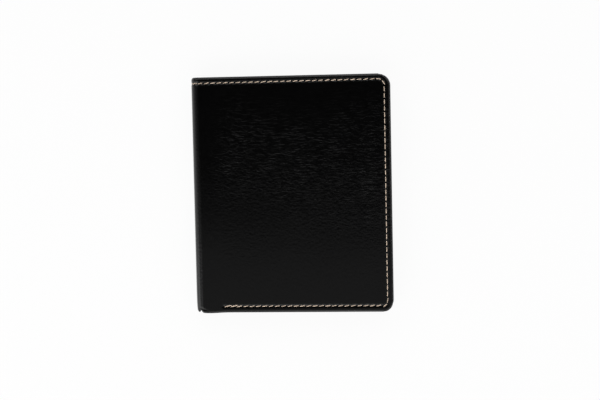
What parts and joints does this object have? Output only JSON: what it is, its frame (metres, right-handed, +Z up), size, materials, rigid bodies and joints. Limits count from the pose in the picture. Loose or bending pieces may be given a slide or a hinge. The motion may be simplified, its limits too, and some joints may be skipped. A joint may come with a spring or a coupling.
{
  "type": "bifold wallet",
  "caption": "Slim portrait bifold wallet in black leather with contrast stitching, a note compartment open at the top and stepped card slots on both inner faces.",
  "frame": {"origin": "middle of the back cover's outer face, on the surface that the closed wallet lies on", "axes": "+X from the spine to the free edge, +Y to the open top of the note compartment, +Z up through the layers to the front cover"},
  "size_m": [0.101, 0.12, 0.0107],
  "materials": {
    "cover_leather": "smooth black cowhide, satin, with faint creases",
    "panel_leather": "smooth black leather, skived thin, satin",
    "lining_fabric": "black plain-weave polyester lining",
    "thread": "cream bonded sewing thread"
  },
  "bodies": {
    "back": {"back_cover": "cover_leather", "back_lining": "lining_fabric", "back_note_divider": "lining_fabric", "back_card_panel": "panel_leather", "back_slot_1_pocket": "lining_fabric", "back_slot_1_facing": "panel_leather", "back_slot_2_pocket": "lining_fabric", "back_slot_2_facing": "panel_leather", "back_slot_3_pocket": "lining_fabric", "back_slot_3_facing": "panel_leather", "back_cover_stitching": "thread", "back_panel_stitching": "thread"},
    "spine": {"spine_leather": "cover_leather", "spine_lining": "lining_fabric", "spine_note_divider": "lining_fabric", "spine_stitching": "thread"},
    "front": {"front_cover": "cover_leather", "front_lining": "lining_fabric", "front_note_divider": "lining_fabric", "front_card_panel": "panel_leather", "front_slot_1_pocket": "lining_fabric", "front_slot_1_facing": "panel_leather", "front_slot_2_pocket": "lining_fabric", "front_slot_2_facing": "panel_leather", "front_slot_3_pocket": "lining_fabric", "front_slot_3_facing": "panel_leather", "front_cover_stitching": "thread", "front_panel_stitching": "thread"}
  },
  "joints": [
    {"name": "spine_fold", "type": "hinge", "parent": "back", "child": "spine", "pos_m": [-0.04899, 0, 0.00151], "axis": [0, -1, 0], "range_deg": [0, 90]},
    {"name": "front_fold", "type": "hinge", "parent": "spine", "child": "front", "pos_m": [-0.04899, 0, 0.00919], "axis": [0, -1, 0], "range_deg": [0, 90]}
  ],
  "couplings": [
    {"joint": "front_fold", "follows": "spine_fold", "ratio": 1}
  ]
}
